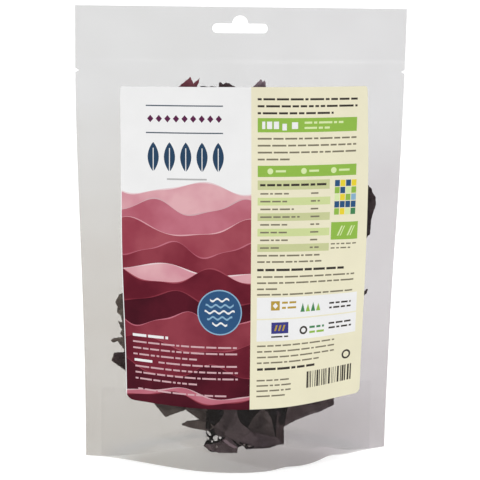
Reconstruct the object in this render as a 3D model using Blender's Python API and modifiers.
"""A stand-up pouch of dried dulse, a red seaweed, with a paper label on its front.

The pouch is three webs of clear film: a front, a back and a gusset folded in as the base. It
stands on the lower edges of the front and back webs. The dried fronds are packed inside in layers.
Metres, +Z up, the front faces -Y, and the origin is on the ground under the pouch's middle.
"""

import math
import random

import bmesh
import bpy
from mathutils import Matrix, Vector
from mathutils.geometry import delaunay_2d_cdt, intersect_point_line

MM = 0.001

# Film pouch
FLAT_WIDTH = 190 * MM
HEIGHT = 268 * MM
HEADER = 31 * MM  # sealed band above the filled part
SIDE_SEAL = 6 * MM
BASE_BULGE = 27 * MM  # how far each face stands out at the base
BULGE_POWER = 2.1  # higher keeps the lower half fuller
ARC_SHARE = 0.617  # share of bulge squared over width that a curved web draws in
BASE_SQUEEZE, BODY_SQUEEZE = 1.7, 1.2  # powers of the cosine across the pouch, at the base and above
SQUEEZE_HEIGHT = 70 * MM
LEFT_LIFT, RIGHT_LIFT = 3.4 * MM, 6.5 * MM  # how far the bottom corners curl off the ground
LIFT_START, LIFT_POWER = 0.25, 1.6
FILM = 0.5 * MM
GAP = 0.3 * MM  # clearance between webs, and between all pieces that touch

# Hang slot and tear notches in the film
SLOT_LENGTH, SLOT_HEIGHT = 32 * MM, 5.4 * MM
SLOT_MIDDLE = -1.1 * MM  # the slot is punched a little to the left
SLOT_MIDDLE_DROP = 12.1 * MM  # below the top edge
SLOT_BUMP_RADIUS = 4.6 * MM
NOTCH_HEIGHT_FROM_GROUND = 231 * MM
NOTCH_DEPTH, NOTCH_OPENING = 2.2 * MM, 2.8 * MM
CUTTER_REACH = 4 * MM  # from the pouch's mid plane

# Gusset
GUSSET_FOLD = 42 * MM  # height of the folded gusset's crease in the flat pouch
BASE_SEAL = 5 * MM  # height of the welded skirt in the middle of the base
CORNER_START = 42 * MM  # where the welded corner's arc leaves the skirt
CORNER_END = 84 * MM
GUSSET_REACH = 72 * MM  # half length of the gusset web
SKIRT_SHARE = 0.3  # share of the web, on each side, that is welded skirt
TENT_POWER = 1.6

# Label, in the flat film's width and height
LABEL_LEFT, LABEL_RIGHT = -69.5 * MM, 77 * MM
LABEL_BOTTOM, LABEL_TOP = 38 * MM, 222.5 * MM
LABEL_TAPER, LABEL_TAPER_START = 3.7 * MM, 100 * MM  # the right edge leans in above this height
LABEL_TOP_RADIUS, LABEL_BOTTOM_RADIUS = 1.5 * MM, 5 * MM
LABEL_SHEET = 0.3 * MM
LABEL_EDGE_STEP, LABEL_INNER_STEP = 9 * MM, 11 * MM

# Dried fronds
BLADE = 0.6 * MM
ROOM_CLEARANCE = 1.3 * MM  # from the film's middle plane depth to the outermost blade
SIDE_LIMIT, SIDE_SHARE = 66 * MM, 0.80  # furthest from the middle, and the same as a share of the room
TOP_LIMIT = 220 * MM
# Fronds with a tip that shows above the label: where the tip is, how far it passes the limit, and its spread
TIPS = {
    "dulse_high_1": (-30 * MM, 9.5 * MM, 6.5 * MM),
    "dulse_high_3": (-9 * MM, 5.5 * MM, 5 * MM),
    "dulse_high_4": (11 * MM, 8.5 * MM, 4.5 * MM),
}
FLOOR_CLEARANCE = 5 * MM  # above the gusset's tent
STIPE_RADIUS = 3.2 * MM
FORK_DEPTH, FORK_WIDTH = 0.22, 0.22  # the dent that starts to fork each lobe's tip
EDGE_STEP, INNER_STEP = 5 * MM, 10 * MM  # mesh spacing on a blade
SIDE_EASE, TOP_EASE, FLOOR_EASE = 0.82, 0.94, 0.92  # share of each limit from which a blade is pressed in
# Waves that crumple the packed fronds: length across, length up, phase, drift through the pack, height
WAVES = (
    (52 * MM, 83 * MM, 0.4, 1.7, 0.080),
    (-37 * MM, 61 * MM, 2.1, -2.2, 0.060),
    (29 * MM, -44 * MM, 4.4, 1.6, 0.035),
)

SEAL_HEIGHT = HEIGHT - HEADER

# Fronds: name, root across, root up, heading in degrees from +X, length, half spread in degrees,
# lobes, place in the pack from -1 at the front film to 1 at the back film. Lengths in millimetres.
FRONDS = (
    ("dulse_low_1", 26, 92, 258, 70, 50, 4, -0.70),
    ("dulse_low_2", -26, 97, 270, 68, 52, 4, -0.44),
    ("dulse_low_3", 16, 98, 282, 62, 58, 5, -0.18),
    ("dulse_low_4", -18, 102, 252, 64, 56, 4, 0.08),
    ("dulse_low_5", 30, 96, 272, 62, 50, 4, 0.34),
    ("dulse_low_6", -26, 98, 258, 74, 52, 5, 0.58),
    ("dulse_low_7", 16, 94, 288, 78, 56, 5, 0.82),
    ("dulse_mid_1", 8, 130, 183, 82, 40, 4, -0.57),
    ("dulse_mid_2", -12, 120, 2, 84, 40, 4, -0.29),
    ("dulse_mid_3", -60, 112, 10, 114, 30, 4, -0.05),
    ("dulse_mid_4", 58, 136, 190, 112, 30, 4, 0.21),
    ("dulse_mid_5", 12, 122, 178, 84, 42, 5, 0.46),
    ("dulse_mid_6", -14, 120, 358, 84, 44, 5, 0.70),
    ("dulse_high_1", -32, 130, 96, 110, 36, 5, -0.72),
    ("dulse_high_2", 36, 124, 82, 88, 40, 4, -0.44),
    ("dulse_high_3", -10, 136, 94, 94, 40, 4, -0.18),
    ("dulse_high_4", 22, 128, 92, 106, 40, 4, 0.08),
    ("dulse_high_5", -34, 128, 92, 82, 40, 4, 0.34),
    ("dulse_high_6", 24, 130, 84, 80, 46, 5, 0.60),
    ("dulse_high_7", -12, 128, 96, 84, 50, 5, 0.84),
)

# Blades that show below and beside the label: name, place in the pack, outline across and up in millimetres
SHOWN_BLADES = (
    (
        "dulse_front_centre",
        -0.93,
        ((-20, 30), (-20, 25), (-19, 19), (-21, 15), (-17, 11.5), (-1.6, 11.5), (-1.4, 14.2), (2, 16),
         (4, 14), (8, 13.6), (16, 13.8), (26, 14.3), (26, 25.4), (36, 30), (48.6, 31.9), (57, 34.8),
         (56, 42), (38, 52), (22, 66), (2, 74), (-16, 60), (-18, 44)),
    ),
    (
        "dulse_front_left",
        -0.86,
        ((-52, 40.6), (-50, 38), (-43, 29.5), (-31.3, 35.5), (-23.5, 30.4), (-30.4, 29), (-33.7, 26.6),
         (-28.9, 25), (-20.3, 24.6), (-13, 27), (-12, 40), (-16, 54), (-28, 66), (-44, 78), (-56, 72),
         (-60, 56)),
    ),
    (
        "dulse_side_left",
        -0.10,
        ((-60, 103), (-67, 102.4), (-70, 101), (-72.3, 96.5), (-71, 93.5), (-71.3, 90.5), (-69, 88),
         (-68.2, 84), (-69.8, 82.4), (-68.4, 80), (-69.5, 77.5), (-67.8, 75.5), (-73, 74.8), (-75, 73.6),
         (-73.6, 72), (-71, 73), (-67.2, 68), (-67.2, 66.3), (-73, 66), (-74.6, 61), (-68.3, 56.5),
         (-60, 50), (-52, 54), (-50, 76), (-53, 98)),
    ),
    (
        "dulse_side_right",
        -0.12,
        ((60, 131), (70, 131), (74, 129.5), (75.5, 134.8), (77.4, 136.5), (77.8, 145), (78.8, 149),
         (80.4, 154), (80, 159), (78.3, 161), (77.5, 163.7), (75.6, 165.5), (70, 169), (58, 172),
         (50, 160), (52, 142)),
    ),
)


def smooth_step(share):
    """0 below 0, 1 above 1, and an even S between."""
    share = min(max(share, 0.0), 1.0)
    return share * share * (3 - 2 * share)


def bulge(z):
    """How far the middle of each face stands off the pouch's mid plane at a height."""
    if z >= SEAL_HEIGHT:
        return 0.0
    return BASE_BULGE * (1 - max(z, 0.0) ** BULGE_POWER / SEAL_HEIGHT**BULGE_POWER)


def inner_half_width(z):
    """From the middle to the side seal. The web's arc keeps its length, so a bulge draws the sides in."""
    flat = FLAT_WIDTH / 2 - SIDE_SEAL
    return (flat + math.sqrt(flat * flat - 4 * ARC_SHARE * bulge(z) ** 2)) / 2


def film_depth(x, z):
    """Distance of a face's film from the mid plane."""
    across = min(abs(x) / inner_half_width(z), 1.0)
    squeeze = BASE_SQUEEZE + (BODY_SQUEEZE - BASE_SQUEEZE) * smooth_step(z / SQUEEZE_HEIGHT)
    return bulge(z) * max(math.cos(math.pi / 2 * across), 0.0) ** squeeze


def corner_lift(u):
    """Height of the bottom edge off the ground, where u runs from -1 at the left seal to 1 at the right."""
    lift = LEFT_LIFT if u < 0 else RIGHT_LIFT
    return lift * max((abs(u) - LIFT_START) / (1 - LIFT_START), 0.0) ** LIFT_POWER


def on_film(u, v):
    """x and z of a film point, u across from -1 to 1 and v up from 0 to 1."""
    z = corner_lift(u) + v * (HEIGHT - corner_lift(u))
    return u * (inner_half_width(z) + SIDE_SEAL), z


def room(x, z):
    """Half the depth that the fronds have inside the pouch."""
    return max(film_depth(x, z) - ROOM_CLEARANCE, 0.0)


def packed_depth(x, z, place):
    """y of a frond's point. It rises with place everywhere, so no frond crosses another."""
    shift = 0.0
    for across, up, phase, drift, height in WAVES:
        shift += height * math.sin(2 * math.pi * (x / across + z / up) + phase + drift * place)
    return room(x, z) * (place + (1 - place**4) * shift)


def gusset_seal_height(x):
    """Height of the weld between the gusset and a face: a low skirt with an arc up at each corner."""
    share = min(max((abs(x) - CORNER_START) / (CORNER_END - CORNER_START), 0.0), 1.0)
    return BASE_SEAL + (GUSSET_FOLD - BASE_SEAL) * (1 - math.sqrt(1 - share * share))


def material(name, colour, roughness, alpha=1.0):
    made = bpy.data.materials.new(name)
    made.use_nodes = True
    shader = made.node_tree.nodes["Principled BSDF"]
    shader.inputs["Base Color"].default_value = (*colour, 1.0)
    shader.inputs["Roughness"].default_value = roughness
    shader.inputs["Metallic"].default_value = 0.0
    shader.inputs["Alpha"].default_value = alpha
    return made


def add_object(name, mesh, look, collection):
    made = bpy.data.objects.new(name, mesh)
    if look is not None:
        mesh.materials.append(look)
    collection.objects.link(made)
    return made


def solidify(made, thickness, offset):
    shell = made.modifiers.new("thickness", "SOLIDIFY")
    shell.thickness = thickness
    shell.offset = offset


def grid_sheet(name, columns, rows, place, look, collection):
    """A grid bent into a sheet. place turns u and v, each from -1 to 1, into a point."""
    bm = bmesh.new()
    bmesh.ops.create_grid(bm, x_segments=columns, y_segments=rows, size=1.0)
    for vertex in bm.verts:
        vertex.co = Vector(place(vertex.co.x, vertex.co.y))
    mesh = bpy.data.meshes.new(name)
    bm.to_mesh(mesh)
    bm.free()
    mesh.shade_smooth()
    return add_object(name, mesh, look, collection)


def hole_cutter(name, outline, collection):
    """A cutter: a flat outline in x and z, run through both faces of the flat header along y."""
    curve = bpy.data.curves.new(name, "CURVE")
    curve.dimensions = "2D"
    curve.fill_mode = "BOTH"
    curve.extrude = CUTTER_REACH
    spline = curve.splines.new("POLY")
    spline.points.add(len(outline) - 1)
    for point, (x, z) in zip(spline.points, outline):
        point.co = (x, z, 0.0, 1.0)
    spline.use_cyclic_u = True
    drawn = bpy.data.objects.new(name + "_outline", curve)
    collection.objects.link(drawn)
    drawn.rotation_euler = (math.pi / 2, 0, 0)
    bpy.context.view_layer.update()
    mesh = bpy.data.meshes.new_from_object(drawn.evaluated_get(bpy.context.evaluated_depsgraph_get()))
    bm = bmesh.new()
    bm.from_mesh(mesh)
    bmesh.ops.remove_doubles(bm, verts=bm.verts, dist=0.01 * MM)
    bm.to_mesh(mesh)
    bm.free()
    cutter = bpy.data.objects.new(name, mesh)
    cutter.matrix_world = drawn.matrix_world.copy()
    collection.objects.link(cutter)
    bpy.data.objects.remove(drawn)
    cutter.hide_render = True
    cutter.display_type = "WIRE"
    return cutter


def arc(cx, cz, radius, start, end, steps):
    """Points of an arc, its angles in degrees."""
    angles = [math.radians(start + (end - start) * k / steps) for k in range(steps + 1)]
    return [(cx + radius * math.cos(a), cz + radius * math.sin(a)) for a in angles]


def hang_slot_outline():
    """A slot with round ends and a round bump in the middle of its top."""
    x, z, r = SLOT_MIDDLE, HEIGHT - SLOT_MIDDLE_DROP, SLOT_HEIGHT / 2
    end = SLOT_LENGTH / 2 - r
    bump = arc(x, z + r, SLOT_BUMP_RADIUS, 0, 180, 10)
    return arc(x + end, z, r, -90, 90, 8) + bump + arc(x - end, z, r, 90, 270, 8)


def notch_outline(side):
    """A small V in a side seal."""
    edge, z = side * FLAT_WIDTH / 2, NOTCH_HEIGHT_FROM_GROUND
    tip, mouth = edge - side * NOTCH_DEPTH, edge + side * NOTCH_DEPTH
    return [(tip, z), (mouth, z - NOTCH_OPENING), (mouth, z + NOTCH_OPENING)]


def cut(made, cutter):
    boolean = made.modifiers.new("cut_" + cutter.name, "BOOLEAN")
    boolean.operation = "DIFFERENCE"
    boolean.object = cutter
    boolean.solver = "EXACT"


def build_face(name, side, columns, rows, look, collection, cutters):
    """The front web for side -1, the back web for side 1."""

    def place(a, b):
        x, z = on_film(a, (b + 1) / 2)
        return x, side * (film_depth(x, z) + GAP / 2), z

    web = grid_sheet(name, columns, rows, place, look, collection)
    solidify(web, FILM, -side)
    for cutter in cutters:
        cut(web, cutter)
    return web


def build_gusset(look, collection):
    """The base web: welded skirts inside both faces, and a tent between them."""

    def place(a, b):
        x = a * GUSSET_REACH
        seal = gusset_seal_height(x)
        lift = corner_lift(x / inner_half_width(0))
        inset = (GAP + FILM) / 2
        if abs(b) >= 1 - SKIRT_SHARE:
            z = lift + (1 - abs(b)) / SKIRT_SHARE * seal
            return x, math.copysign(film_depth(x, z) - inset, b), z
        edge = film_depth(x, seal) - inset
        t = b / (1 - SKIRT_SHARE)
        rise = math.sqrt(max((GUSSET_FOLD - seal) ** 2 - edge * edge, 0.0))
        return x, edge * t, lift + seal + rise * (1 - abs(t) ** TENT_POWER)

    web = grid_sheet("pouch_gusset", 18, 20, place, look, collection)
    solidify(web, FILM, 0.0)
    return web


def resample(outline, step):
    """The closed outline with points about a step apart."""
    points = [Vector(p) for p in outline]
    around = points + points[:1]
    lengths = [(b - a).length for a, b in zip(around, around[1:])]
    total = sum(lengths)
    count = max(round(total / step), 6)
    made, leg, passed = [], 0, 0.0
    for k in range(count):
        target = total * k / count
        while passed + lengths[leg] < target:
            passed += lengths[leg]
            leg += 1
        made.append(around[leg].lerp(around[leg + 1], (target - passed) / lengths[leg]))
    return made


def inside(point, outline):
    """True if the point lies within the closed outline."""
    found = False
    for a, b in zip(outline, outline[1:] + outline[:1]):
        if (a.y > point.y) != (b.y > point.y):
            if point.x < a.x + (point.y - a.y) / (b.y - a.y) * (b.x - a.x):
                found = not found
    return found


def edge_distance(point, outline):
    """Distance from a point to the closed outline."""
    nearest = 1e9
    for a, b in zip(outline, outline[1:] + outline[:1]):
        on_line, share = intersect_point_line(point, a, b)
        on_line = a if share < 0 else b if share > 1 else on_line.to_2d()
        nearest = min(nearest, (point - on_line).length)
    return nearest


def outline_sheet(name, outline, edge_step, inner_step, place, look, collection):
    """A sheet of the outline's shape with even triangles. place turns a flat point into a point in space."""
    rim = resample(outline, edge_step)
    low = Vector((min(p.x for p in rim), min(p.y for p in rim)))
    high = Vector((max(p.x for p in rim), max(p.y for p in rim)))
    points = list(rim)
    row_height = inner_step * math.sqrt(0.75)
    for row in range(int((high.y - low.y) / row_height) + 1):
        for column in range(int((high.x - low.x) / inner_step) + 2):
            point = low + Vector(((column - 0.5 * (row % 2)) * inner_step, row * row_height))
            if inside(point, rim) and edge_distance(point, rim) > 0.5 * inner_step:
                points.append(point)
    loop = list(range(len(rim)))
    verts, _, faces, *_ = delaunay_2d_cdt(points, [], [loop], 1, 1e-6)
    mesh = bpy.data.meshes.new(name)
    mesh.from_pydata([place(p.x, p.y) for p in verts], [], faces)
    mesh.shade_smooth()
    return add_object(name, mesh, look, collection)


def label_right(height):
    """Where the label's right edge is at a height."""
    share = max(height - LABEL_TAPER_START, 0.0) / (LABEL_TOP - LABEL_TAPER_START)
    return LABEL_RIGHT - LABEL_TAPER * share**2


def label_outline():
    """A tall sheet with round corners, larger at the bottom."""
    t, b = LABEL_TOP_RADIUS, LABEL_BOTTOM_RADIUS
    count = int((LABEL_TOP - t - LABEL_TAPER_START) / LABEL_EDGE_STEP)
    heights = [LABEL_TAPER_START + LABEL_EDGE_STEP * k for k in range(count)]
    return (
        arc(LABEL_LEFT + b, LABEL_BOTTOM + b, b, 180, 270, 5)
        + arc(LABEL_RIGHT - b, LABEL_BOTTOM + b, b, 270, 360, 5)
        + [(label_right(height), height) for height in heights]
        + arc(label_right(LABEL_TOP) - t, LABEL_TOP - t, t, 0, 90, 2)
        + arc(LABEL_LEFT + t, LABEL_TOP - t, t, 90, 180, 2)
    )


def build_label(look, collection):
    """The label lies on the front web's outer face and bends with it."""

    def place(across, up):
        x, z = on_film(across / (FLAT_WIDTH / 2), up / HEIGHT)
        return x, -(film_depth(x, z) + GAP / 2 + FILM + GAP), z

    steps = (LABEL_EDGE_STEP, LABEL_INNER_STEP)
    sheet = outline_sheet("label", label_outline(), *steps, place, look, collection)
    solidify(sheet, LABEL_SHEET, 1.0)
    return sheet


def palmate_outline(length, half_spread, lobes, seed):
    """A fan-shaped frond on a short stipe at (0, 0), pointing along +X and cut into round-ended lobes."""
    draw = random.Random(seed)
    shares = [draw.uniform(0.8, 1.2) for _ in range(lobes)]
    scale = 2 * half_spread / sum(shares)
    reach = [length * draw.uniform(0.80, 1.0) for _ in range(lobes)]
    sinus = [STIPE_RADIUS] + [length * draw.uniform(0.40, 0.66) for _ in range(lobes - 1)] + [STIPE_RADIUS]
    ripple, turn = draw.uniform(0, 6), draw.uniform(-0.22, 0.22)
    outline, start, steps = [], -half_spread, 40
    for k in range(lobes):
        half = shares[k] * scale / 2
        for j in range(steps):
            t = -1 + 2 * j / steps
            notch = sinus[k] if t < 0 else sinus[k + 1]
            angle = start + half * (t + 1)
            tip = 1 - abs(t) ** 4 - FORK_DEPTH * math.exp(-((t / FORK_WIDTH) ** 2))
            radius = notch + (reach[k] - notch) * tip
            radius *= 1 + 0.03 * math.sin(13 * angle + ripple) + 0.02 * math.sin(29 * angle - ripple)
            bent = angle + turn * (radius / length) ** 2
            outline.append((radius * math.cos(bent), radius * math.sin(bent)))
        start += 2 * half
    back = arc(0, 0, STIPE_RADIUS, math.degrees(half_spread) + 20, 340 - math.degrees(half_spread), 5)
    return outline + back


def eased(value, limit, start):
    """value as it is up to start of the limit, and from there eased so that it never passes the limit."""
    bend = start * limit
    if value <= bend:
        return value
    spare = limit - bend
    return bend + spare * math.tanh((value - bend) / spare)


def floor_height(x, place):
    """The lowest that a frond at that place in the pack may reach: just above the gusset's tent."""
    seal = gusset_seal_height(x)
    edge = max(film_depth(x, seal), 1 * MM)
    rise = math.sqrt(max((GUSSET_FOLD - seal) ** 2 - edge * edge, 0.0))
    share = min(abs(packed_depth(x, seal, place)) / edge, 1.0)
    return seal + rise * (1 - share**TENT_POWER) + FLOOR_CLEARANCE


def top_limit(name, x):
    """The highest that a frond may reach."""
    if name not in TIPS:
        return TOP_LIMIT
    across, rise, spread = TIPS[name]
    return TOP_LIMIT + rise * math.exp(-(((x - across) / spread) ** 2))


def kept_inside(name, x, z, place):
    """A frond's flat point pressed in from the pouch's sides, top and gusset."""
    side = min(SIDE_LIMIT, SIDE_SHARE * inner_half_width(z))
    x = math.copysign(eased(abs(x), side, SIDE_EASE), x)
    top = top_limit(name, x)
    z = eased(z, top, TOP_EASE)
    low = floor_height(x, place)
    return x, top - eased(top - z, top - low, FLOOR_EASE)


def build_frond(row, seed, look, collection):
    name, root_x, root_z, heading, length, half_spread, lobes, place = row
    outline = palmate_outline(length * MM, math.radians(half_spread), lobes, seed)
    turn = Matrix.Rotation(math.radians(heading), 2)
    root = Vector((root_x, root_z)) * MM
    flat = []
    for point in outline:
        across, up = turn @ Vector(point) + root
        flat.append(kept_inside(name, across, up, place))
    return build_blade(name, flat, place, look, collection)


def build_blade(name, outline, place, look, collection):
    """A blade of that outline in x and z, lying at its place in the pack."""

    def packed(x, z):
        return x, packed_depth(x, z, place), z

    blade = outline_sheet(name, outline, EDGE_STEP, INNER_STEP, packed, look, collection)
    solidify(blade, BLADE, 0.0)
    return blade


def main():
    for old in list(bpy.data.objects):
        bpy.data.objects.remove(old)
    parts = bpy.data.collections.new("dulse_pouch")
    cutters = bpy.data.collections.new("cutters")
    for collection in (parts, cutters):
        bpy.context.scene.collection.children.link(collection)

    film = material("film", (0.80, 0.80, 0.79), 0.35, 0.25)
    paper = material("label_paper", (0.86, 0.84, 0.76), 0.45)
    dulse = material("dried_dulse", (0.075, 0.022, 0.032), 0.55)

    holes = [
        hole_cutter("hang_slot", hang_slot_outline(), cutters),
        hole_cutter("tear_notch_left", notch_outline(-1), cutters),
        hole_cutter("tear_notch_right", notch_outline(1), cutters),
    ]
    build_face("pouch_front", -1, 24, 26, film, parts, holes)
    build_face("pouch_back", 1, 22, 24, film, parts, holes)
    build_gusset(film, parts)
    build_label(paper, parts)
    for seed, row in enumerate(FRONDS):
        build_frond(row, seed, dulse, parts)
    for name, place, outline in SHOWN_BLADES:
        build_blade(name, [(x * MM, z * MM) for x, z in outline], place, dulse, parts)


main()
